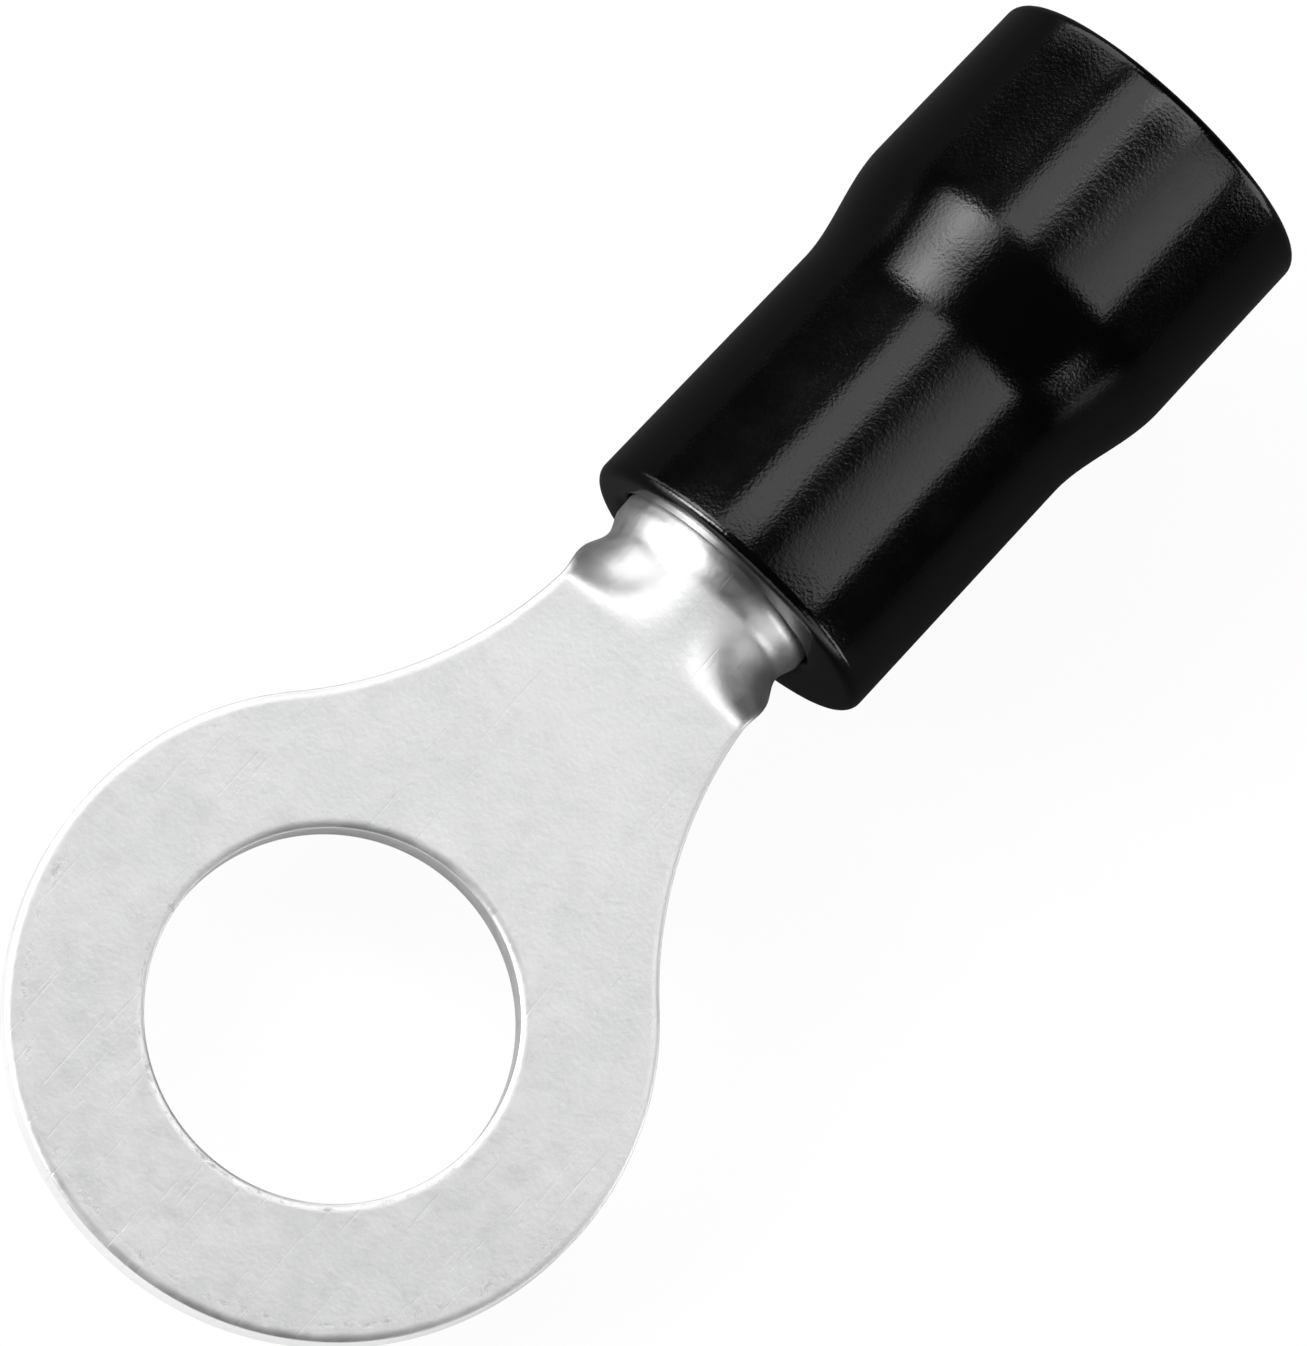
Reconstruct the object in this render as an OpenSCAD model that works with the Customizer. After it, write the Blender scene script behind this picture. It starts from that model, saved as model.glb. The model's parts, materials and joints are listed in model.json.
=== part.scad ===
// Pre-insulated ring terminal: a ring tongue and a rolled crimp barrel made from
// one strip of tinned sheet, and a moulded vinyl sleeve pushed over the barrel.
//
// Frame: the origin is the centre of the stud hole on the tongue's underside, +Z is
// the tongue's upper face and +X runs along the barrel to the wire entry. The sheet
// is rolled downwards, so its upper face runs on into the barrel's outside.

/* [Ring] */
// Clearance hole for the stud
stud_hole_d = 6.5; // [4.3:0.1:8.4]
// Outside diameter of the ring
ring_d = 11.3; // [10:0.1:13]
// Thickness of the sheet
sheet_t = 0.8; // [0.6:0.05:1]
// Die roll that rounds the upper edges of the blank
edge_roll = 0.16; // [0.05:0.01:0.25]

/* [Neck] */
// Width of the neck at its narrowest
neck_w = 4.05; // [3.2:0.05:4.6]
// Radius of the fillets that run from the ring into the neck
neck_fillet_r = 8; // [5:0.1:9]
// Stud hole centre to the front of the barrel
tongue_l = 10.4; // [10:0.05:14]
// Length over which the flat neck curls down to the barrel's radius
curl_l = 1.5; // [1:0.1:2.5]
// Curled length between the curl and the barrel, with the step up to it
shoulder_l = 0.45; // [0.3:0.05:1]
// Height of the barrel's outside above the tongue's upper face
barrel_step = 0.12; // [0:0.01:0.2]
// Radius by which the neck widens into the barrel's wings
wing_corner_r = 1.4; // [0.6:0.1:1.8]

/* [Barrel] */
// Bore for the bare wire
wire_bore_d = 2.5; // [2.1:0.1:2.9]
// Length of the rolled barrel
barrel_l = 5.4; // [5:0.1:7]
// Width of the butt seam along the barrel's underside
seam_w = 0.06; // [0.04:0.01:0.12]
// Grip grooves round the bore
grip_count = 3; // [1:1:4]
// Width of one grip groove
grip_w = 0.4; // [0.2:0.05:0.5]
// Depth of one grip groove
grip_depth = 0.1; // [0.05:0.01:0.15]

/* [Sleeve] */
// Wall of the sleeve round the barrel
grip_wall = 0.95; // [0.8:0.01:1.2]
// Wall of the sleeve round the wire's insulation
entry_wall = 0.84; // [0.7:0.01:1.1]
// Bore for the wire's insulation
entry_bore_d = 5; // [4.4:0.1:6]
// Distance by which the barrel stands out of the sleeve's front
barrel_proud = 0.1; // [0:0.05:0.4]
// Blend from the narrow to the wide part
flare_l = 2.25; // [1.6:0.05:3]
// Wide part behind the blend
entry_l = 3.6; // [2.5:0.05:5]
// Draft of the sleeve's outside, in degrees, by which it left its mould
draft = 0.5; // [0:0.1:1]
// Rounding of the sleeve's rims
rim_r = 0.22; // [0.1:0.01:0.3]
// Web that covers the barrel's rear edge, so that strands don't catch on it
web_t = 0.5; // [0.3:0.05:0.8]
// Sideways set of the sleeve at the barrel's front
sleeve_shift = 0.26; // [0:0.01:0.3]
// Lean of the sleeve in the tongue's plane, in degrees
sleeve_lean = 2; // [0:0.1:2.5]

/* [Fit] */
// Radial clearance between the barrel and its seat in the sleeve
seat_clearance = 0.02; // [0.01:0.01:0.05]
// Gap between the barrel's rear edge and the web
web_clearance = 0.05; // [0.02:0.01:0.1]

/* [Hidden] */

$fn = 96;
overlap = 0.2;        // how far one shape of a piece runs into the next
inset = 0.01;         // how far the curl's ends lie inside what they run into

ring_r = ring_d / 2;
barrel_r = wire_bore_d / 2 + sheet_t;
mid_r = barrel_r - sheet_t / 2;   // neutral radius of the rolled sheet
axis_z = sheet_t + barrel_step - barrel_r;   // height of the barrel's axis

// The fillets touch the ring and both sides of the neck.
fillet_y = neck_w / 2 + neck_fillet_r;
fillet_x = sqrt(pow(ring_r + neck_fillet_r, 2) - pow(fillet_y, 2));
fillet_angle = atan2(fillet_y, fillet_x);

curl_x = tongue_l - shoulder_l - curl_l;   // where the neck stops being flat
barrel_end = tongue_l + barrel_l;

sleeve_front = tongue_l + barrel_proud;
grip_l = barrel_l - barrel_proud + web_clearance;   // sleeve's front to its web
seat_r = barrel_r + seat_clearance;
grip_r = seat_r + grip_wall;
entry_r = entry_bore_d / 2;
wide_r = entry_r + entry_wall;
sleeve_l = grip_l + flare_l + entry_l;

// ---- outline of the blank ----

// Half the neck's width at x, along the fillet and then straight
function neck_half(x) =
    x < fillet_x
    ? fillet_y - sqrt(pow(neck_fillet_r, 2) - pow(x - fillet_x, 2))
    : neck_w / 2;

// Extra half width where the blank's inside corner leads into the wings
function wing_half(x) =
    let (d = max(0, x - (tongue_l - wing_corner_r)))
    wing_corner_r - sqrt(max(0, pow(wing_corner_r, 2) - d * d));

// Half the sheet's developed width at x
function blank_half(x) = neck_half(x) + wing_half(min(x, tongue_l));

// Width of the die roll across the sheet, which grows where the edge runs aslant
function roll_across(x) =
    let (slope = (fillet_x - x) / neck_fillet_r)
    edge_roll / (x < fillet_x ? sqrt(1 - slope * slope) : 1);

function ease(u) = let (v = min(1, max(0, u))) v * v * (3 - 2 * v);

// Rise of the sheet above the tongue, which brings it up to the barrel on the shoulder
function step_up(x) = barrel_step * ease((x - tongue_l + shoulder_l) / shoulder_l);

// Curvature of the sheet across the neck: flat up to curl_x, then down to the barrel's
function curl(x) = ease((x - curl_x) / curl_l) / (mid_r - barrel_step + step_up(x));

// ---- rolled sheet ----

// Where a point of the flat section goes when the sheet is rolled down on both sides:
// u runs across the sheet and n up from its middle, whose height is mid.
function rolled(u, n, k, mid) =
    k < 1e-4
    ? [u, mid + n]
    : let (a = u * k * 180 / PI, r = 1 / k + n)
      [r * sin(a), mid - 1 / k + r * cos(a)];

// Places across the sheet, each with the drop of the upper face there: a quarter
// round of radius roll, stretched to width w, and then flat up to the middle.
function across(h, w, corner = 3, flat = 9) =
    let (half = concat(
        [for (i = [0 : corner]) let (a = 90 * i / corner)
            [-h + w * (1 - cos(a)), edge_roll * (1 - sin(a))]],
        [for (i = [1 : flat]) [(w - h) * (1 - i / flat), 0]]
    ))
    concat(half, [for (i = [len(half) - 2 : -1 : 0]) [-half[i][0], half[i][1]]]);

// A section of the sheet at x: the underside from left to right, then the upper side back
function sheet_section(x, h, t) =
    let (
        places = across(h, roll_across(x)),
        last = len(places) - 1,
        k = curl(x),
        mid = sheet_t / 2 + step_up(x)
    )
    [for (p = concat(
        [for (q = places) [q[0], -t / 2]],
        [for (i = [last : -1 : 0]) [places[i][0], t / 2 - places[i][1]]]
    )) let (q = rolled(p[0], p[1], k, mid)) [x, q[0], q[1]]];

// Skin through sections whose first half runs back along their second half
module loft(sections) {
    n = len(sections[0]);
    last = (len(sections) - 1) * n;
    function quad(a, b, c, d) = [[a, b, c], [a, c, d]];
    polyhedron(
        points = [for (s = sections) each s],
        faces = concat(
            [for (j = [0 : n / 2 - 2]) each quad(j, j + 1, n - 2 - j, n - 1 - j)],
            [for (i = [0 : n : last - n], j = [0 : n - 1])
                let (k = (j + 1) % n) each quad(i + j, i + j + n, i + k + n, i + k)],
            [for (j = [0 : n / 2 - 2]) each quad(last + n - 1 - j, last + n - 2 - j, last + j + 1, last + j)]
        ),
        convexity = 6
    );
}

// ---- tongue and barrel ----

// Section of the flat ring, with a die roll at the hole and at the rim
module ring() {
    hole_r = stud_hole_d / 2;
    function roll(r, from) =
        [for (i = [0 : 4]) let (a = from + 22.5 * i)
            [r + edge_roll * cos(a), sheet_t - edge_roll + edge_roll * sin(a)]];
    rotate_extrude()
        polygon(concat(
            [[hole_r, 0], [ring_r, 0]],
            roll(ring_r - edge_roll, 0),
            roll(hole_r + edge_roll, 90)
        ));
}

// The neck, from inside the ring's rim to just inside the barrel's wall
module neck() {
    steps = 26;
    first = ring_r * cos(fillet_angle);
    rear = tongue_l + overlap;
    loft([for (i = [0 : steps])
        let (
            x = first + (rear - first) * i / steps,
            t = sheet_t - 2 * inset * ease((x - curl_x) / curl_l)
        )
        sheet_section(x, blank_half(x) - inset, t)
    ]);
}

module barrel() {
    translate([tongue_l, 0, axis_z])
        difference() {
            rotate([0, 90, 0]) cylinder(r = barrel_r, h = barrel_l);
            translate([-overlap, 0, 0])
                rotate([0, 90, 0]) cylinder(d = wire_bore_d, h = barrel_l + 2 * overlap);
            for (i = [1 : grip_count])
                translate([barrel_l * i / (grip_count + 1) - grip_w / 2, 0, 0])
                    rotate([0, 90, 0]) cylinder(d = wire_bore_d + 2 * grip_depth, h = grip_w);
            translate([-overlap, -seam_w / 2, -barrel_r - overlap])
                cube([barrel_l + 2 * overlap, seam_w, barrel_r + overlap]);
        }
}

module tongue_and_barrel() {
    color("gainsboro") {
        ring();
        neck();
        barrel();
    }
}

// ---- insulating sleeve ----

// Runs the sleeve's own frame along its leaning axis: z from its front face
module on_sleeve_axis() {
    translate([sleeve_front, -sleeve_shift, axis_z])
        rotate([0, 0, -sleeve_lean])
            rotate([0, 90, 0]) children();
}

function arc(c, r, from, to, steps = 6) =
    [for (i = [0 : steps]) let (a = from + (to - from) * i / steps) c + r * [cos(a), sin(a)]];

// Half of the sleeve's outside, from the axis at its front to the axis at its rear
function sleeve_outline() =
    let (
        front_r = min(rim_r, grip_wall / 3),
        rear_r = min(rim_r, entry_wall / 3),
        grip_end_r = grip_r - grip_l * tan(draft),
        wide_end_r = wide_r - entry_l * tan(draft),
        steps = 12
    )
    concat(
        [[0, 0]],
        arc([grip_r - front_r, front_r], front_r, -90, 0),
        [for (i = [0 : steps]) let (u = i / steps)
            [grip_end_r + (wide_r - grip_end_r) * ease(u), grip_l + flare_l * u]],
        arc([wide_end_r - rear_r, sleeve_l - rear_r], rear_r, 0, 90),
        [[0, sleeve_l]]
    );

// The wide bore with its rounded rear rim
function entry_outline() =
    let (r = min(rim_r, entry_wall / 3))
    concat(
        [[0, grip_l + flare_l], [entry_r, grip_l + flare_l]],
        arc([entry_r + r, sleeve_l - r], r, 180, 90),
        [[entry_r + r, sleeve_l + overlap], [0, sleeve_l + overlap]]
    );

// Funnel from the barrel's bore, on the barrel's axis, to the wide bore on the sleeve's
module funnel() {
    hull() {
        translate([barrel_end + web_clearance + web_t, 0, axis_z])
            rotate([0, 90, 0]) cylinder(r = wire_bore_d / 2 - inset, h = inset, $fn = 32);
        on_sleeve_axis()
            translate([0, 0, grip_l + flare_l]) cylinder(r = entry_r - inset, h = inset, $fn = 32);
    }
}

module insulating_sleeve() {
    seat_l = grip_l + barrel_proud;
    mouth_r = min(rim_r, grip_wall / 3);
    color([0.07, 0.07, 0.08])
        difference() {
            on_sleeve_axis() rotate_extrude() polygon(sleeve_outline());
            on_sleeve_axis() rotate_extrude() polygon(entry_outline());
            funnel();
            translate([tongue_l, 0, axis_z])
                rotate([0, 90, 0]) {
                    translate([0, 0, -overlap]) cylinder(r = seat_r, h = seat_l + overlap);
                    cylinder(d = wire_bore_d, h = seat_l + web_t + 2 * inset);
                    translate([0, 0, barrel_proud - overlap])
                        cylinder(r1 = seat_r + mouth_r + overlap, r2 = seat_r, h = mouth_r + overlap);
                }
        }
}

tongue_and_barrel();
insulating_sleeve();
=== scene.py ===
import json
import math

import bmesh
import bpy
from mathutils import Matrix, Vector


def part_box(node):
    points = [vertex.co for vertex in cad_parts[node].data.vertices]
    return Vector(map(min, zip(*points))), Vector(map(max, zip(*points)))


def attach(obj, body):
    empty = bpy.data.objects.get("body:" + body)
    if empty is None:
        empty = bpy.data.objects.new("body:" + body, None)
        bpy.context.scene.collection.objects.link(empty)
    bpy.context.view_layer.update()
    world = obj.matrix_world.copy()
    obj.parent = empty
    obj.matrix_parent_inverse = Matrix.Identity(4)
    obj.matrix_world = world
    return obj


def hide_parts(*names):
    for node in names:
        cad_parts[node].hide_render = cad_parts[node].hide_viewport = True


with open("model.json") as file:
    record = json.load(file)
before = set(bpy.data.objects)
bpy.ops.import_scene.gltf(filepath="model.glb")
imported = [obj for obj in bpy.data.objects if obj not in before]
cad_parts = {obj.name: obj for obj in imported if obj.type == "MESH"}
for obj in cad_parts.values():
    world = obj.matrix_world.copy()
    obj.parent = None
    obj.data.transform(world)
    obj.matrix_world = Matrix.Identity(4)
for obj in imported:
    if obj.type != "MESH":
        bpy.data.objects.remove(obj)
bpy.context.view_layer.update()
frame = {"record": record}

MM = 0.001


# ---- sizes, taken from the frame, in metres ----

def mount(name):
    """Centre, axis, radius and length of one of the record's bores."""
    entry = next(m for m in frame["record"]["mounts"] if m["name"] == name)
    dims = entry["dims"]
    return (Vector(entry["pos_m"]), Vector(entry["axis"]),
            dims.get("r_mm", 0) * MM, dims.get("length_mm", 0) * MM)


metal_lo, metal_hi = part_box("tongue_and_barrel")
_, _, HOLE_R, _ = mount("stud_hole")
barrel_at, _, BORE_R, BARREL_L = mount("wire_barrel")
entry_at, entry_axis, ENTRY_R, _ = mount("wire_entry")

RING_R = -metal_lo.x
BARREL_R = (metal_hi.z - metal_lo.z) / 2
AXIS_Z = (metal_hi.z + metal_lo.z) / 2
SHEET_T = BARREL_R - BORE_R
BARREL_STEP = metal_hi.z - SHEET_T
MID_R = BARREL_R - SHEET_T / 2
BARREL_X = barrel_at.x - BARREL_L / 2
BARREL_END = barrel_at.x + BARREL_L / 2

# Blank
NECK_HALF = 2.025 * MM
FILLET_R = 8 * MM
CURL_L = 1.5 * MM
SHOULDER_L = 0.45 * MM
WING_CORNER_R = 1.4 * MM
SEAM_W = 0.06 * MM
SEAM_CORNER_R = 0.25 * MM
EDGE_ROLL, ROLL_DROP = 0.16 * MM, 0.06 * MM
BURR_ROUND = 0.03 * MM
GRIP_COUNT, GRIP_W, GRIP_DEPTH = 3, 0.4 * MM, 0.1 * MM
GRIP_SLOPE = 0.03 * MM             # run of a groove's flank along the barrel
CURL_X = BARREL_X - SHOULDER_L - CURL_L
FILLET_Y = NECK_HALF + FILLET_R
FILLET_X = math.sqrt((RING_R + FILLET_R) ** 2 - FILLET_Y ** 2)

# Fineness of the blank's mesh
RING_STEPS, NECK_STEPS, WING_STEPS = 130, 56, 18
FRONT_STEPS, CORNER_STEPS = 14, 8
NECK_COLUMNS = 18                  # faces across half the neck
RING_ROWS = 12                     # faces across the ring
SEAM_STEP = 0.3 * MM               # length of a face along the seam
NECK_LEAD = 0.9 * MM               # length of neck, ahead of the curl, that is meshed in straight rows
HOLD = 0.025 * MM                  # flat strip that keeps the roll's shading off the faces

# Sleeve
BARREL_PROUD = 0.1 * MM
SEAT_CLEARANCE = 0.02 * MM
WEB_CLEARANCE, WEB_T = 0.05 * MM, 0.5 * MM
GRIP_WALL, ENTRY_WALL = 0.95 * MM, 0.84 * MM
FLARE_L, ENTRY_L = 2.25 * MM, 3.6 * MM
RIM_R = 0.22 * MM
DRAFT = math.radians(0.5)
SLEEVE_X = BARREL_X + BARREL_PROUD
SLEEVE_LEAN = math.atan2(-entry_axis.y, entry_axis.x)
SLEEVE_SHIFT = -entry_at.y - (entry_at.x - SLEEVE_X) * math.tan(SLEEVE_LEAN)
GRIP_L = BARREL_END + WEB_CLEARANCE - SLEEVE_X
SEAT_R = BARREL_R + SEAT_CLEARANCE
SLEEVE_L = GRIP_L + FLARE_L + ENTRY_L
SLEEVE_FACETS = 256
CREASE = 0.02 * MM                 # distance from a crease to the station that keeps it crisp


# ---- meshes and materials: helpers ----

def linked(name, mesh):
    piece = bpy.data.objects.new(name, mesh)
    bpy.context.scene.collection.objects.link(piece)
    return piece


def mesh_of(name, points, faces):
    mesh = bpy.data.meshes.new(name)
    mesh.from_pydata(points, [], faces)
    mesh.update()
    return mesh


def face_outwards(mesh):
    """Turns every face of a closed mesh outwards and shades it smooth."""
    form = bmesh.new()
    form.from_mesh(mesh)
    bmesh.ops.recalc_face_normals(form, faces=form.faces)
    if form.calc_volume(signed=True) < 0:
        bmesh.ops.reverse_faces(form, faces=form.faces)
    for face in form.faces:
        face.smooth = True
    form.to_mesh(mesh)
    form.free()


class Nodes:
    """Short way to place and wire the nodes of one tree."""

    def __init__(self, tree):
        self.tree = tree

    def add(self, kind, inputs=None, **settings):
        node = self.tree.nodes.new(kind)
        for name, value in settings.items():
            setattr(node, name, value)
        for key, value in (inputs or {}).items():
            self.feed(node.inputs[key], value)
        return node

    def feed(self, socket, value):
        if isinstance(value, bpy.types.NodeSocket):
            self.tree.links.new(value, socket)
        elif isinstance(value, bpy.types.Node):
            self.tree.links.new(value.outputs[0], socket)
        else:
            socket.default_value = value

    def math(self, operation, a, b=None):
        values = {0: a} if b is None else {0: a, 1: b}
        return self.add("ShaderNodeMath", values, operation=operation).outputs[0]

    def spread(self, value, low, high, to_low, to_high):
        """Takes the range from low to high onto the range from to_low to to_high, and stops there."""
        return self.add("ShaderNodeMapRange", {
            "Value": value, "From Min": low, "From Max": high,
            "To Min": to_low, "To Max": to_high}).outputs[0]


def new_socket(tree, name, direction, kind, default=None):
    socket = tree.interface.new_socket(name=name, in_out=direction, socket_type=kind)
    if default is not None:
        socket.default_value = default
    return socket


def press(piece, tree, sizes):
    """Runs a Geometry Nodes tree on a piece and leaves its result as a plain mesh."""
    modifier = piece.modifiers.new(tree.name, "NODES")
    modifier.node_group = tree
    for item in tree.interface.items_tree:
        if item.item_type == "SOCKET" and item.in_out == "INPUT" and item.name in sizes:
            modifier[item.identifier] = sizes[item.name]
    bpy.context.view_layer.update()
    graph = bpy.context.evaluated_depsgraph_get()
    made = bpy.data.meshes.new_from_object(piece.evaluated_get(graph))
    piece.modifiers.remove(modifier)
    made.name = piece.name
    piece.data = made
    return piece


# ---- camera ----

VIEW_TILT = math.radians(12.25)    # lean of the line of sight away from straight down
VIEW_TURN = math.radians(48.76)    # turn of the barrel's axis in the frame
VIEW_DISTANCE = 0.4
VIEW_TARGET = Vector((8.11, -0.26, 1.22)) * MM
VIEW_HEIGHT = 23.1 * MM            # height of the frame at the target

sight = Vector((math.sin(VIEW_TILT), 0, -math.cos(VIEW_TILT)))
along = Vector((math.cos(VIEW_TILT), 0, math.sin(VIEW_TILT)))
aside = (-sight).cross(along)
right = along * math.cos(VIEW_TURN) - aside * math.sin(VIEW_TURN)
up = along * math.sin(VIEW_TURN) + aside * math.cos(VIEW_TURN)

camera_data = bpy.data.cameras.new("camera")
camera = linked("camera", camera_data)
camera.matrix_world = Matrix.Translation(VIEW_TARGET - sight * VIEW_DISTANCE) @ Matrix(
    (right, up, -sight)).transposed().to_4x4()
camera_data.sensor_width = 36
camera_data.lens = camera_data.sensor_width * VIEW_DISTANCE / VIEW_HEIGHT
camera_data.clip_start, camera_data.clip_end = 0.01, 20
bpy.context.scene.camera = camera


# ---- stamped blank, still flat ----

def arc_points(centre, radius, start, end, steps, inwards):
    """Outline points on an arc, each with the direction into the sheet."""
    made = []
    for i in range(1, steps + 1):
        a = math.radians(start + (end - start) * i / steps)
        way = Vector((math.cos(a), math.sin(a)))
        made.append((Vector(centre) + way * radius, way * inwards))
    return made


def neck_point(x):
    """Outline point of the neck at x, along the fillet and out into the barrel's wings."""
    before = min(0, x - FILLET_X)
    into = max(0, x - (BARREL_X - WING_CORNER_R))
    fillet_rise = math.sqrt(FILLET_R ** 2 - before ** 2)
    wing_rise = math.sqrt(max(0, WING_CORNER_R ** 2 - into ** 2))
    place = Vector((x, FILLET_Y - fillet_rise + WING_CORNER_R - wing_rise))
    slope = before / fillet_rise + into / max(wing_rise, 1e-9)
    return place, Vector((slope, -1)).normalized()


def groove_centre(i):
    return BARREL_X + BARREL_L * i / (GRIP_COUNT + 1)


def grip_stations():
    """Places along the barrel's seam edge, with a close pair at each side of a grip groove."""
    first, last = BARREL_X + SEAM_CORNER_R, BARREL_END - SEAM_CORNER_R
    stations = [first]
    for i in range(1, GRIP_COUNT + 1):
        centre = groove_centre(i)
        near, far = centre - GRIP_W / 2, centre + GRIP_W / 2
        gap = near - stations[-1]
        steps = max(1, round(gap / SEAM_STEP))
        stations += [stations[-1] + gap * j / steps for j in range(1, steps)]
        stations += [near, near + GRIP_SLOPE, centre, far - GRIP_SLOPE, far]
    gap = last - stations[-1]
    steps = max(1, round(gap / SEAM_STEP))
    stations += [stations[-1] + gap * j / steps for j in range(1, steps + 1)]
    return stations[1:]


def groove_depth(x):
    """Depth of the grip grooves pressed into the sheet's underside, which becomes the bore."""
    for i in range(1, GRIP_COUNT + 1):
        off = GRIP_W / 2 - abs(x - groove_centre(i))
        if off > 0:
            return GRIP_DEPTH * min(1, off / GRIP_SLOPE)
    return 0.0


def blank_outline():
    """Half the blank's outline, from the ring's tip to the middle of the barrel's rear
    edge, and the places in it where the mesh changes its pattern."""
    wing = NECK_HALF + WING_CORNER_R
    wing_start = BARREL_X - WING_CORNER_R
    half_girth = math.pi * MID_R - SEAM_W / 2
    seam_r = SEAM_CORNER_R
    tangent = math.degrees(math.atan2(FILLET_Y, FILLET_X))
    points = [(Vector((-RING_R, 0)), Vector((1, 0)))]
    points += arc_points((0, 0), RING_R, 180, tangent, RING_STEPS, -1)
    tangent_x = points[-1][0].x
    points += [neck_point(tangent_x + (wing_start - tangent_x) * i / NECK_STEPS)
               for i in range(1, NECK_STEPS + 1)]
    points += [neck_point(wing_start + WING_CORNER_R * math.sin(math.pi / 2 * i / WING_STEPS))
               for i in range(1, WING_STEPS + 1)]
    marks = {"wing": len(points) - 1}
    points += [(Vector((BARREL_X, wing + (half_girth - seam_r - wing) * i / FRONT_STEPS)), Vector((1, 0)))
               for i in range(1, FRONT_STEPS + 1)]
    half_corner = CORNER_STEPS // 2
    points += arc_points((BARREL_X + seam_r, half_girth - seam_r), seam_r, 180, 90, CORNER_STEPS, -1)
    marks["front corner"] = len(points) - 1 - half_corner
    points += [(Vector((x, half_girth)), Vector((0, -1))) for x in grip_stations()]
    points += arc_points((BARREL_END - seam_r, half_girth - seam_r), seam_r, 90, 0, CORNER_STEPS, -1)
    marks["rear corner"] = len(points) - 1 - half_corner
    rear = marks["front corner"] - marks["wing"] + NECK_COLUMNS - half_corner
    points += [(Vector((BARREL_END, (half_girth - seam_r) * (1 - i / rear))), Vector((-1, 0)))
               for i in range(1, rear + 1)]
    return points, marks


def edge_profile():
    """Distance in from the outline, and height, of the points round a stamped edge."""
    half = SHEET_T / 2
    made = [(EDGE_ROLL + HOLD, half)]
    for i in range(9):
        a = math.radians(90 - 11.25 * i)
        made.append((EDGE_ROLL * (1 - math.cos(a)), half - ROLL_DROP * (1 - math.sin(a))))
    made.append((0, 0))
    for i in range(4):
        a = math.radians(30 * i)
        made.append((BURR_ROUND * (1 - math.cos(a)), -half + BURR_ROUND * (1 - math.sin(a))))
    made.append((EDGE_ROLL + HOLD, -half))
    return made


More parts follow.
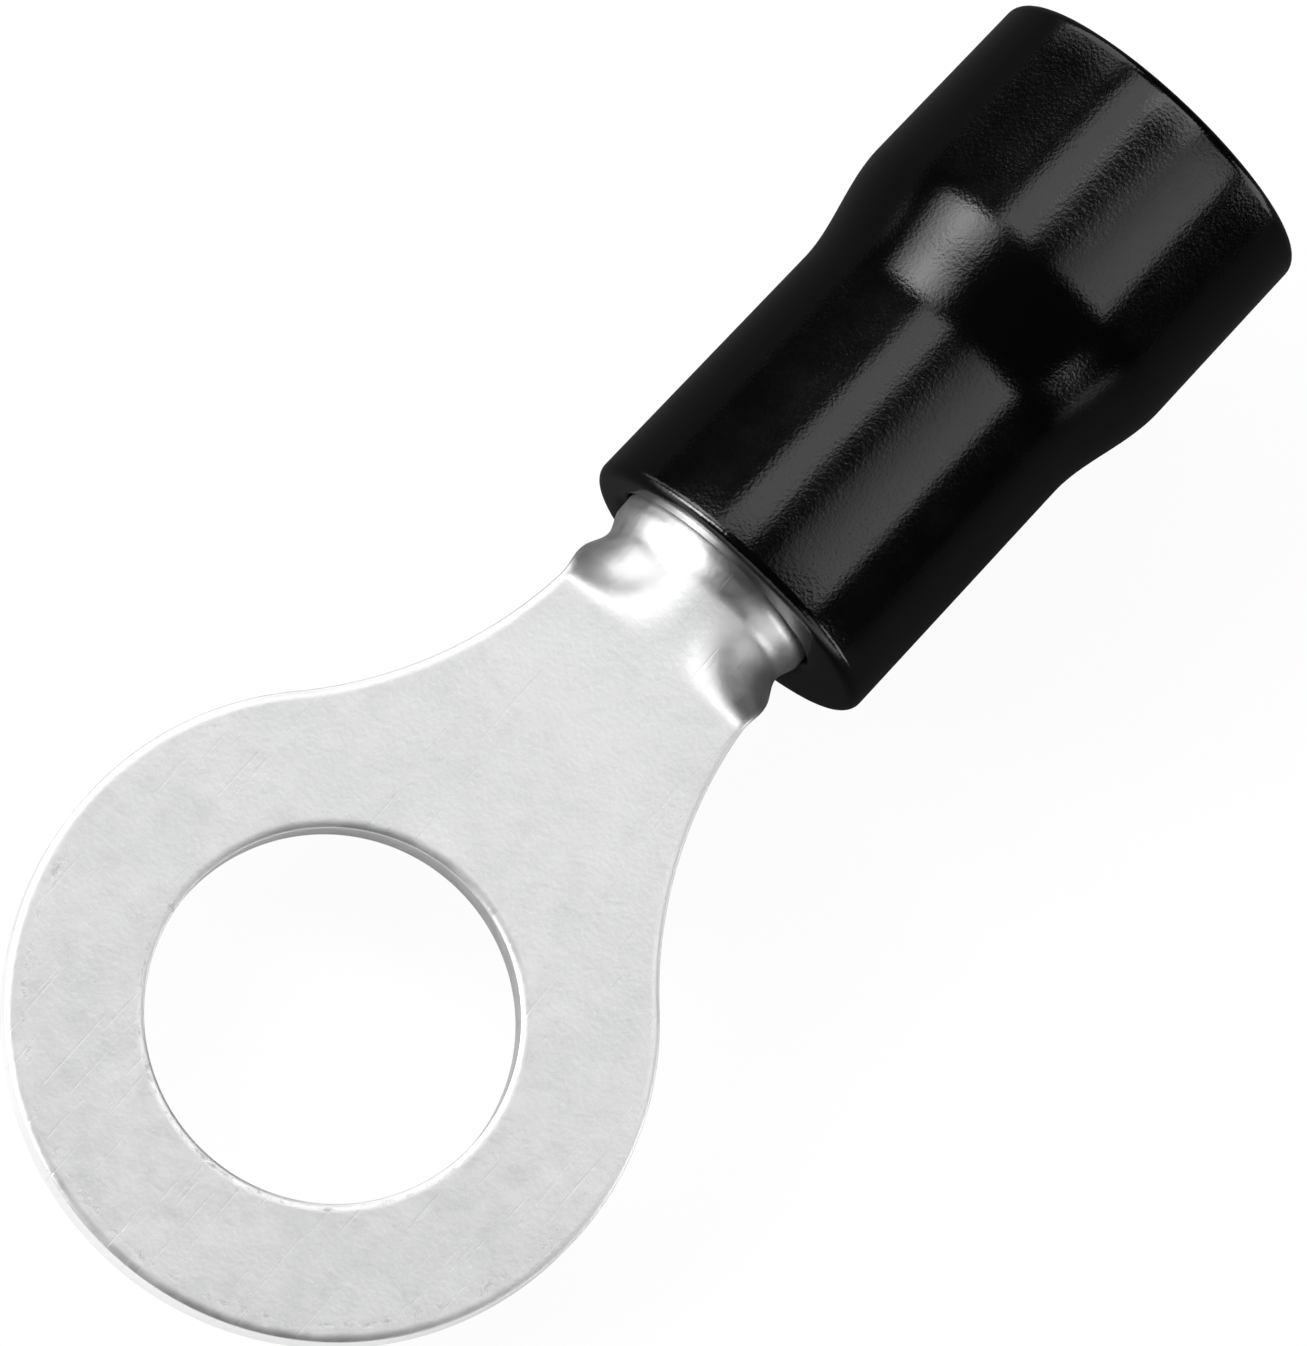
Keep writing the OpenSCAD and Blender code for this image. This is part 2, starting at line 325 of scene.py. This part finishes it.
def flat_blank():
    """The whole blank as one closed mesh: its upper and lower face, and the edges round
    its outline and round the stud hole. Height 0 is the sheet's underside."""
    half, marks = blank_outline()
    last = len(half) - 1
    outline = half + [(Vector((p.x, -p.y)), Vector((n.x, -n.y))) for p, n in half[-2:0:-1]]
    count = len(outline)
    inner = EDGE_ROLL + HOLD
    plan = []                      # places on the sheet that both faces share
    quads = []

    def place(p):
        plan.append(Vector(p))
        return len(plan) - 1

    def quad(a, b, c, d):
        p, q, r, s = (plan[i] for i in (a, b, c, d))
        turn = (r - p).cross(s - q)
        quads.append((a, b, c, d) if turn > 0 else (d, c, b, a))

    rim = [place(p + n * inner) for p, n in outline]

    def mirrored(k):
        return rim[(count - k) % count]

    neck_start = next(k for k in range(last) if half[k][0].x > CURL_X - NECK_LEAD
                      and half[k][0].y < FILLET_Y / 2)

    def row(k):
        """One row of places straight across the neck."""
        a, b = plan[rim[k]], plan[mirrored(k)]
        return ([rim[k]]
                + [place(a.lerp(b, i / (2 * NECK_COLUMNS))) for i in range(1, 2 * NECK_COLUMNS)]
                + [mirrored(k)])

    # Ring: rows that widen from the hole to the outline
    neck_row = row(neck_start)
    outer = rim[:neck_start] + neck_row + [mirrored(k) for k in range(neck_start - 1, 0, -1)]
    hole = [place(plan[i].normalized() * (HOLE_R + inner)) for i in outer]
    rows = [hole]
    for j in range(1, RING_ROWS):
        rows.append([place(plan[a].lerp(plan[b], j / RING_ROWS)) for a, b in zip(hole, outer)])
    rows.append(outer)
    for near, far in zip(rows, rows[1:]):
        for i in range(len(outer)):
            j = (i + 1) % len(outer)
            quad(near[i], near[j], far[j], far[i])

    # Neck, up to the barrel's front
    for k in range(neck_start + 1, marks["wing"] + 1):
        next_row = row(k)
        for i in range(2 * NECK_COLUMNS):
            quad(neck_row[i], neck_row[i + 1], next_row[i + 1], next_row[i])
        neck_row = next_row

    # Barrel: a grid between its front, its rear and its two seam edges
    corner, rear_corner, wing = marks["front corner"], marks["rear corner"], marks["wing"]
    front = rim[corner:wing:-1] + neck_row + [mirrored(k) for k in range(wing + 1, corner + 1)]
    rear = [rim[k] for k in range(rear_corner, last)] + [rim[last]] + [
        mirrored(k) for k in range(last - 1, rear_corner - 1, -1)]
    upper = rim[corner:rear_corner + 1]
    lower = [mirrored(k) for k in range(corner, rear_corner + 1)]
    wide, long = len(front) - 1, len(upper) - 1
    assert len(rear) == len(front)

    def between(i, j):
        """Place i of wide across and j of long along the barrel, blended from its four sides."""
        u, v = i / wide, j / long
        sides = (plan[front[i]].lerp(plan[rear[i]], v) + plan[upper[j]].lerp(plan[lower[j]], u))
        ends = plan[upper[0]].lerp(plan[lower[0]], u).lerp(
            plan[upper[-1]].lerp(plan[lower[-1]], u), v)
        return sides - ends

    grid = [front]
    for j in range(1, long):
        grid.append([upper[j]] + [place(between(i, j)) for i in range(1, wide)] + [lower[j]])
    grid.append(rear)
    for near, far in zip(grid, grid[1:]):
        for i in range(wide):
            quad(near[i], near[i + 1], far[i + 1], far[i])

    # Both faces, then the edges
    middle = SHEET_T / 2
    points = [(p.x, p.y, SHEET_T) for p in plan]
    points += [(p.x, p.y, groove_depth(p.x)) for p in plan]
    under = len(plan)
    faces = quads + [tuple(i + under for i in reversed(q)) for q in quads]
    profile = edge_profile()

    def edge(loop, stations):
        strips = []
        for index, (p, n) in zip(loop, stations):
            strip = [index]
            for off, height in profile[1:-1]:
                q = p + n * off
                points.append((q.x, q.y, max(middle + height, groove_depth(q.x))))
                strip.append(len(points) - 1)
            strips.append(strip + [index + under])
        for i, near in enumerate(strips):
            far = strips[(i + 1) % len(strips)]
            for a in range(len(near) - 1):
                faces.append((near[a], near[a + 1], far[a + 1], far[a]))

    edge(rim, outline)
    edge(hole, [(plan[i].normalized() * HOLE_R, plan[i].normalized()) for i in hole])
    return mesh_of("tongue_and_barrel_blank", points, faces)


def rolling_tree():
    """Rolls a flat sheet down on both sides of X, and steps it up to the barrel."""
    tree = bpy.data.node_groups.new("roll_sheet", "GeometryNodeTree")
    new_socket(tree, "Sheet", "INPUT", "NodeSocketGeometry")
    new_socket(tree, "Thickness", "INPUT", "NodeSocketFloat")
    new_socket(tree, "Neutral radius", "INPUT", "NodeSocketFloat")
    new_socket(tree, "Step", "INPUT", "NodeSocketFloat")
    new_socket(tree, "Step start", "INPUT", "NodeSocketFloat")
    new_socket(tree, "Step length", "INPUT", "NodeSocketFloat")
    new_socket(tree, "Curl start", "INPUT", "NodeSocketFloat")
    new_socket(tree, "Curl length", "INPUT", "NodeSocketFloat")
    new_socket(tree, "Finish", "INPUT", "NodeSocketMaterial")
    new_socket(tree, "Sheet", "OUTPUT", "NodeSocketGeometry")
    n = Nodes(tree)
    given = n.add("NodeGroupInput").outputs
    where = n.add("ShaderNodeSeparateXYZ", {0: n.add("GeometryNodeInputPosition")}).outputs

    def blend(start, length, low, high):
        return n.add("ShaderNodeMapRange", {
            "Value": where["X"], "From Min": given[start],
            "From Max": n.math("ADD", given[start], given[length]),
            "To Min": low, "To Max": high}, interpolation_type="SMOOTHSTEP").outputs["Result"]

    raised = blend("Step start", "Step length", 0.0, given["Step"])
    radius = n.math("ADD", n.math("SUBTRACT", given["Neutral radius"], given["Step"]), raised)
    curvature = n.math("DIVIDE", blend("Curl start", "Curl length", 1e-5, 1.0), radius)
    angle = n.math("MULTIPLY", where["Y"], curvature)
    half = n.math("MULTIPLY", given["Thickness"], 0.5)
    height = n.math("SUBTRACT", where["Z"], half)
    sine = n.math("SINE", angle)
    half_sine = n.math("SINE", n.math("MULTIPLY", angle, 0.5))
    side = n.math("ADD", n.math("DIVIDE", sine, curvature), n.math("MULTIPLY", height, sine))
    drop = n.math("DIVIDE", n.math("MULTIPLY", n.math("MULTIPLY", half_sine, half_sine), 2.0), curvature)
    lift = n.math("ADD", n.math("ADD", half, raised), n.math("MULTIPLY", height, n.math("COSINE", angle)))
    rolled = n.add("GeometryNodeSetPosition", {
        "Geometry": given["Sheet"],
        "Position": n.add("ShaderNodeCombineXYZ", {
            "X": where["X"], "Y": side, "Z": n.math("SUBTRACT", lift, drop)})})
    real = n.add("GeometryNodeRealizeInstances", {0: rolled})
    finished = n.add("GeometryNodeSetMaterial", {"Geometry": real, "Material": given["Finish"]})
    n.add("NodeGroupOutput", {0: finished})
    return tree


# ---- sleeve ----

def sleeve_profile():
    """Closed half section of the sleeve: distance from its front, radius, and how far
    the ring of that radius follows the barrel's axis instead of the sleeve's own."""
    made = []

    def turn(z, r, radius, start, end, steps, on_barrel=0.0):
        for i in range(steps + 1):
            a = math.radians(start + (end - start) * i / steps)
            made.append((z + radius * math.sin(a), r + radius * math.cos(a), on_barrel))

    def run(z0, r0, z1, r1, steps, b0=0.0, b1=0.0):
        for i in range(1, steps):
            u = i / steps
            made.append((z0 + (z1 - z0) * u, r0 + (r1 - r0) * u, b0 + (b1 - b0) * u))

    grip_r, wide_r = SEAT_R + GRIP_WALL, ENTRY_R + ENTRY_WALL
    grip_end_r = grip_r - GRIP_L * math.tan(DRAFT)
    wide_end_r = wide_r - ENTRY_L * math.tan(DRAFT)
    turn(RIM_R, grip_r - RIM_R, RIM_R, -90, 0, 8)
    run(RIM_R, grip_r, GRIP_L, grip_end_r, 8)
    for i in range(25):
        u = i / 24
        made.append((GRIP_L + FLARE_L * u, grip_end_r + (wide_r - grip_end_r) * u * u * (3 - 2 * u), 0.0))
    run(GRIP_L + FLARE_L, wide_r, SLEEVE_L - RIM_R, wide_end_r, 6)
    turn(SLEEVE_L - RIM_R, wide_end_r - RIM_R, RIM_R, 0, 90, 8)
    turn(SLEEVE_L - RIM_R, ENTRY_R + RIM_R, RIM_R, 90, 180, 8)
    run(SLEEVE_L - RIM_R, ENTRY_R, GRIP_L + FLARE_L, ENTRY_R, 6)
    made.append((GRIP_L + FLARE_L, ENTRY_R, 0.0))
    made.append((GRIP_L + FLARE_L - CREASE, ENTRY_R - CREASE / 2, 0.0))
    throat = GRIP_L + WEB_T
    run(GRIP_L + FLARE_L, ENTRY_R, throat, BORE_R, 6, 0.0, 1.0)
    made.append((throat + CREASE, BORE_R + 0.6 * CREASE, 1.0))
    made.append((throat, BORE_R, 1.0))
    made.append((GRIP_L, BORE_R, 1.0))
    made.append((GRIP_L, SEAT_R, 1.0))
    run(GRIP_L, SEAT_R, RIM_R, SEAT_R, 6, 1.0, 1.0)
    turn(RIM_R, SEAT_R + RIM_R, RIM_R, 180, 270, 8, 1.0)
    return made


def lathe_tree():
    """Turns a half section into a closed sleeve: the section's X is the distance along the
    axis, Y the radius and Z the share of the barrel's own axis in that ring's centre."""
    tree = bpy.data.node_groups.new("turn_sleeve", "GeometryNodeTree")
    new_socket(tree, "Section", "INPUT", "NodeSocketGeometry")
    new_socket(tree, "Stations", "INPUT", "NodeSocketInt")
    new_socket(tree, "Facets", "INPUT", "NodeSocketInt")
    new_socket(tree, "Front", "INPUT", "NodeSocketVector")
    new_socket(tree, "Lean", "INPUT", "NodeSocketFloat")
    new_socket(tree, "Shift", "INPUT", "NodeSocketFloat")
    new_socket(tree, "Finish", "INPUT", "NodeSocketMaterial")
    new_socket(tree, "Sleeve", "OUTPUT", "NodeSocketGeometry")
    n = Nodes(tree)
    given = n.add("NodeGroupInput").outputs
    sheet = n.add("GeometryNodeMeshGrid", {
        "Size X": 1.0, "Size Y": 1.0,
        "Vertices X": n.math("ADD", given["Stations"], 1.0),
        "Vertices Y": n.math("ADD", given["Facets"], 1.0)})
    spot = n.add("ShaderNodeSeparateXYZ", {0: n.add("GeometryNodeInputPosition")}).outputs
    station = n.math("MODULO", n.math("ROUND", n.math(
        "MULTIPLY", n.math("ADD", spot["X"], 0.5), given["Stations"])), given["Stations"])
    angle = n.math("MULTIPLY", n.math("ADD", spot["Y"], 0.5), 2 * math.pi)
    picked = n.add("GeometryNodeSampleIndex", {
        "Geometry": given["Section"], "Value": n.add("GeometryNodeInputPosition"), "Index": station},
        data_type="FLOAT_VECTOR", domain="POINT")
    section = n.add("ShaderNodeSeparateXYZ", {0: picked}).outputs
    drift = n.math("MULTIPLY", section["Z"], n.math("ADD", given["Shift"], n.math(
        "MULTIPLY", section["X"], n.math("TANGENT", given["Lean"]))))
    turned = n.add("GeometryNodeSetPosition", {
        "Geometry": sheet.outputs["Mesh"],
        "Position": n.add("ShaderNodeCombineXYZ", {
            "X": section["X"],
            "Y": n.math("ADD", drift, n.math("MULTIPLY", section["Y"], n.math("COSINE", angle))),
            "Z": n.math("MULTIPLY", section["Y"], n.math("SINE", angle))})})
    closed = n.add("GeometryNodeMergeByDistance", {"Geometry": turned, "Distance": 1e-7})
    placed = n.add("GeometryNodeTransform", {
        "Geometry": closed, "Translation": given["Front"],
        "Rotation": n.add("ShaderNodeCombineXYZ", {"Z": n.math("MULTIPLY", given["Lean"], -1.0)})})
    real = n.add("GeometryNodeRealizeInstances", {0: placed})
    finished = n.add("GeometryNodeSetMaterial", {"Geometry": real, "Material": given["Finish"]})
    n.add("NodeGroupOutput", {0: finished})
    return tree


# ---- finishes ----

def patches_group():
    """Cloudy patches between two values, as handling, plating and moulding leave them."""
    tree = bpy.data.node_groups.new("cloudy_patches", "ShaderNodeTree")
    new_socket(tree, "Position", "INPUT", "NodeSocketVector")
    new_socket(tree, "Patches per mm", "INPUT", "NodeSocketFloat", 0.5)
    new_socket(tree, "Detail", "INPUT", "NodeSocketFloat", 4.0)
    new_socket(tree, "Low", "INPUT", "NodeSocketFloat", 0.0)
    new_socket(tree, "High", "INPUT", "NodeSocketFloat", 1.0)
    new_socket(tree, "Cloud", "OUTPUT", "NodeSocketFloat")
    n = Nodes(tree)
    given = n.add("NodeGroupInput").outputs
    cloud = n.add("ShaderNodeTexNoise", {
        "Vector": given["Position"], "Scale": given["Patches per mm"], "Detail": given["Detail"],
        "Roughness": 0.55})
    n.add("NodeGroupOutput", {0: n.spread(cloud.outputs["Fac"], 0.3, 0.7, given["Low"], given["High"])})
    return tree


def in_millimetres(n):
    """The piece's own position in millimetres."""
    place = n.add("ShaderNodeTexCoord").outputs["Object"]
    return n.add("ShaderNodeVectorMath", {0: place, 1: (1000, 1000, 1000)}, operation="MULTIPLY").outputs[0]


def new_material(name):
    material = bpy.data.materials.new(name)
    material.use_nodes = True
    material.node_tree.nodes.clear()
    n = Nodes(material.node_tree)
    shader = n.add("ShaderNodeBsdfPrincipled")
    n.add("ShaderNodeOutputMaterial", {"Surface": shader.outputs["BSDF"]})
    return material, n, shader


def clouds(n, patches, spot, per_mm, detail, low, high):
    return n.add("ShaderNodeGroup", {
        "Position": spot, "Patches per mm": per_mm, "Detail": detail, "Low": low, "High": high},
        node_tree=patches).outputs["Cloud"]


def fine_scratches(n, spot, turn, seed):
    """Mask of sparse hairline scratches that run along one direction."""
    laid = n.add("ShaderNodeMapping", {
        "Vector": spot, "Location": (seed, 0, 0), "Rotation": (0, 0, turn), "Scale": (0.5, 13, 0.5)})
    streaks = n.add("ShaderNodeTexNoise", {"Vector": laid, "Scale": 1.0, "Detail": 2.0, "Roughness": 0.5})
    return n.spread(streaks.outputs["Fac"], 0.66, 0.72, 0.0, 1.0)


def speckled_line(n, spot, radius_mm, width_mm):
    """Mask of dark specks that gather along a circle round the stud hole, away from the neck."""
    apart = n.add("ShaderNodeSeparateXYZ", {0: spot}).outputs
    radius = n.math("SQRT", n.math("ADD", n.math("MULTIPLY", apart["X"], apart["X"]),
                                   n.math("MULTIPLY", apart["Y"], apart["Y"])))
    off = n.math("ABSOLUTE", n.math("SUBTRACT", radius, radius_mm))
    away_from_neck = n.spread(apart["X"], -1.0, 1.0, 1.0, 0.4)
    near = n.math("MULTIPLY", n.spread(off, 0.0, width_mm, 0.22, 0.0), away_from_neck)
    specks = n.add("ShaderNodeTexNoise", {"Vector": spot, "Scale": 2.6, "Detail": 8.0, "Roughness": 0.75})
    return n.spread(n.math("ADD", specks.outputs["Fac"], near), 0.70, 0.84, 0.0, 1.0)


def tinned_metal(patches):
    """Matt tin plating with soft patches, hairline scratches and speckled edges, rubbed a
    little smoother where the sheet curls."""
    material, n, shader = new_material("tinned_metal")
    spot = in_millimetres(n)
    cloud = clouds(n, patches, spot, 0.5, 6.0, 0.0, 1.0)
    grain = clouds(n, patches, spot, 9.0, 3.0, 0.0, 1.0)
    scratches = n.math("MAXIMUM", fine_scratches(n, spot, 0.4, 3.0), fine_scratches(n, spot, -0.7, 11.0))
    rim_specks = speckled_line(n, spot, RING_R / MM - 0.3, 0.25)
    hole_specks = speckled_line(n, spot, HOLE_R / MM + 0.1, 0.14)
    specks = n.math("MAXIMUM", rim_specks, hole_specks)

    plating = n.add("ShaderNodeValToRGB", {"Fac": cloud})
    plating.color_ramp.elements[0].color = (0.88, 0.882, 0.885, 1)
    plating.color_ramp.elements[1].color = (0.94, 0.94, 0.938, 1)
    dulled = n.math("SUBTRACT", 1.0, n.math("ADD", n.math("MULTIPLY", specks, 0.32),
                                            n.math("MULTIPLY", scratches, 0.05)))
    n.feed(shader.inputs["Base Color"], n.add("ShaderNodeVectorMath", {
        0: plating.outputs["Color"], 1: dulled}, operation="MULTIPLY"))
    shader.inputs["Metallic"].default_value = 1.0
    along = n.add("ShaderNodeSeparateXYZ", {0: spot}).outputs["X"]
    burnished = n.spread(along, CURL_X / MM - 0.1, CURL_X / MM + 0.7, 0.0, 0.06)
    matt = n.math("ADD", clouds(n, patches, spot, 3.0, 4.0, 0.42, 0.5), n.math("MULTIPLY", specks, 0.15))
    n.feed(shader.inputs["Roughness"], n.math("SUBTRACT", matt, burnished))

    height = n.math("SUBTRACT", n.math("ADD", n.math("MULTIPLY", cloud, 5.0), grain),
                    n.math("ADD", n.math("MULTIPLY", specks, 1.5), scratches))
    skin = n.add("ShaderNodeBump", {"Height": height, "Strength": 1.0, "Distance": 0.0012 * MM})
    n.feed(shader.inputs["Normal"], skin.outputs["Normal"])
    return material


def black_vinyl(patches):
    """Black moulded vinyl with a fine leathery grain."""
    material, n, shader = new_material("black_vinyl")
    spot = in_millimetres(n)
    pebbles = n.add("ShaderNodeTexVoronoi", {"Vector": spot, "Scale": 14.0, "Smoothness": 0.5},
                    feature="SMOOTH_F1")
    fine = clouds(n, patches, spot, 26.0, 2.0, 0.0, 1.0)
    shader.inputs["Base Color"].default_value = (0.001, 0.001, 0.0011, 1)
    n.feed(shader.inputs["Roughness"], clouds(n, patches, spot, 1.5, 3.0, 0.12, 0.16))
    height = n.math("ADD", pebbles.outputs["Distance"], n.math("MULTIPLY", fine, 0.5))
    skin = n.add("ShaderNodeBump", {"Height": height, "Strength": 1.0, "Distance": 0.0017 * MM})
    n.feed(shader.inputs["Normal"], skin.outputs["Normal"])
    return material


patches = patches_group()
metal_finish = tinned_metal(patches)
vinyl_finish = black_vinyl(patches)

tongue = linked("tongue_and_barrel_sheet", flat_blank())
press(tongue, rolling_tree(), {
    "Thickness": SHEET_T, "Neutral radius": MID_R, "Curl start": CURL_X, "Curl length": CURL_L,
    "Step": BARREL_STEP, "Step start": BARREL_X - SHOULDER_L, "Step length": SHOULDER_L,
    "Finish": metal_finish})
face_outwards(tongue.data)

profile = sleeve_profile()
sleeve = linked("moulded_sleeve", mesh_of("sleeve_section", profile, []))
press(sleeve, lathe_tree(), {
    "Stations": len(profile), "Facets": SLEEVE_FACETS, "Front": (SLEEVE_X, -SLEEVE_SHIFT, AXIS_Z),
    "Lean": SLEEVE_LEAN, "Shift": SLEEVE_SHIFT, "Finish": vinyl_finish})
face_outwards(sleeve.data)

for piece, node, slot in ((tongue, "tongue_and_barrel", "tinned_metal"),
                          (sleeve, "insulating_sleeve", "black_vinyl")):
    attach(piece, "root")
    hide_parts(node)


# ---- floor, under the ring's tip and the sleeve's wide end ----

# Painted light and shade in reflections: for glossy rays the floor glows bright beside the ring and not at
# all beside the sleeve, which paints the object's shade into what the metal and the sleeve mirror.
SEEN_WHITE = 0.94                  # what the background adds to the camera's picture
PAINTED_REFLECTED_GLOW = (0.9, 0.0)        # what it adds to reflections, beside the ring and the sleeve
PAINTED_SHADE_FADE = (-4 * MM, 4 * MM)           # where along X the one passes into the other
FLOOR_HALF = 1.5


def seen_share(n, ray):
    """1 for what the camera sees straight or through something clear, else 0."""
    return n.math("MAXIMUM", ray["Is Camera Ray"], ray["Is Transmission Ray"])


def backdrop_and_painted_reflection(n):
    """Glow of the background: white to the camera and through glass, and in reflections
    a painted sweep of light that is bright beside the ring and falls off to painted shade behind the neck."""
    ray = n.add("ShaderNodeLightPath").outputs
    seen = n.math("MULTIPLY", seen_share(n, ray), SEEN_WHITE)
    along_x = n.add("ShaderNodeSeparateXYZ", {0: n.add("ShaderNodeTexCoord").outputs["Object"]}).outputs["X"]
    # painted reflection: the glow that reflections see fades along X from bright beside the ring to none
    # behind the neck, as painted shade
    painted_sweep = n.spread(along_x, *PAINTED_SHADE_FADE, *PAINTED_REFLECTED_GLOW)
    return n.math("MAXIMUM", seen, n.math("MULTIPLY", ray["Is Glossy Ray"], painted_sweep))


def pale_floor():
    finish = bpy.data.materials.new("pale_floor")
    finish.use_nodes = True
    finish.node_tree.nodes.clear()
    n = Nodes(finish.node_tree)
    matt = n.add("ShaderNodeBsdfDiffuse", {"Color": (0.08, 0.08, 0.08, 1)})
    glow = n.add("ShaderNodeEmission", {"Color": (1, 1, 1, 1), "Strength": backdrop_and_painted_reflection(n)})
    n.add("ShaderNodeOutputMaterial", {"Surface": n.add("ShaderNodeAddShader", {0: matt, 1: glow})})
    return finish


rest_slope = min(v.co.z / (v.co.x + RING_R) for v in sleeve.data.vertices)
corners = [(x, y, (x + RING_R) * rest_slope)
           for x, y in ((-FLOOR_HALF, -FLOOR_HALF), (FLOOR_HALF, -FLOOR_HALF),
                        (FLOOR_HALF, FLOOR_HALF), (-FLOOR_HALF, FLOOR_HALF))]
floor = linked("floor", mesh_of("floor", corners, [(0, 1, 2, 3)]))
floor.data.materials.append(pale_floor())


# ---- studio light ----

STUDIO, NEARBY = 0.3, 0.025         # distances of the lamps from the part
SLEEVE_MIDDLE = SLEEVE_X + SLEEVE_L / 2


def softbox(name, along_x, turn, distance, radiance, fade=(1, 1, 1), seen_from=SLEEVE_MIDDLE):
    """A soft lamp that runs parallel to the barrel. Seen from that place on the barrel's
    axis, it fills the directions with those parts along X, turned by those degrees from
    straight up towards +Y. Its light fades over the turn, by the three shares in fade."""
    near, far = (distance * part / math.sqrt(1 - part ** 2) for part in along_x)
    middle, half = math.radians(sum(turn) / 2), math.radians(turn[1] - turn[0]) / 2
    out = Vector((0, math.sin(middle), math.cos(middle)))
    x = Vector((1, 0, 0))
    data = bpy.data.lights.new(name, "AREA")
    data.shape = "RECTANGLE"
    data.size, data.size_y = far - near, 2 * distance * math.tan(half)
    data.energy = radiance * math.pi * data.size * data.size_y
    data.use_nodes = True
    n = Nodes(data.node_tree)
    across = n.add("ShaderNodeSeparateXYZ", {
        0: n.add("ShaderNodeNewGeometry").outputs["Parametric"]}).outputs["Y"]
    ramp = n.add("ShaderNodeValToRGB", {"Fac": across})
    ramp.color_ramp.elements.new(0.5)
    for element, share in zip(ramp.color_ramp.elements, fade):
        element.color = (share, share, share, 1)
    n.feed(data.node_tree.nodes["Emission"].inputs["Strength"], ramp.outputs["Color"])
    lamp = linked(name, data)
    lamp.matrix_world = Matrix.Translation(
        Vector((seen_from, 0, AXIS_Z)) + x * (near + far) / 2 + out * distance) @ Matrix(
        (x, out.cross(x), out)).transposed().to_4x4()
    return lamp


# Strips and patches that the sleeve mirrors
softbox("left_strip", (0.12, 0.5), (9.5, 34), STUDIO, 1.66)
softbox("right_strip", (0.12, 0.36), (-54, -8), STUDIO, 1.75, fade=(0.95, 0.75, 0.15))
softbox("flare_lamp", (-0.22, 0.08), (25, 73), STUDIO, 6.6, fade=(0.1, 1, 0.1))
softbox("rim_lamp", (-0.6, -0.38), (30, 80), STUDIO, 20.0, fade=(0.2, 1, 0.3))

# Boxes for the metal
softbox("far_box", (0.33, 0.7), (-20, 14), STUDIO, 2.6)
softbox("left_low_box", (0.38, 0.9), (44, 100), STUDIO, 1.6)
softbox("right_low_box", (0.33, 0.8), (-112, -62), STUDIO, 1.7)
softbox("ring_left_box", (-0.43, 0.1), (52, 96), NEARBY, 0.9, seen_from=0)
softbox("ring_right_box", (-0.43, 0.1), (-96, -52), NEARBY, 0.9, seen_from=0)
softbox("neck_left_box", (-0.02, 0.1), (60, 98), NEARBY, 1.6, seen_from=9 * MM)
softbox("neck_right_box", (-0.04, 0.1), (-98, -60), NEARBY, 3.0, seen_from=9 * MM)

ROOM_LEVEL = 0.012                 # light from all round, beside the lamps


def dim_room():
    """A room that is white to the camera and nearly dark to the part."""
    world = bpy.data.worlds.new("studio")
    world.use_nodes = True
    n = Nodes(world.node_tree)
    seen = seen_share(n, n.add("ShaderNodeLightPath").outputs)
    background = world.node_tree.nodes["Background"]
    background.inputs["Color"].default_value = (1, 1, 1, 1)
    n.feed(background.inputs["Strength"], n.spread(seen, 0.0, 1.0, ROOM_LEVEL, 1.0))
    return world


bpy.context.scene.world = dim_room()
bpy.context.scene.view_settings.view_transform = "Standard"
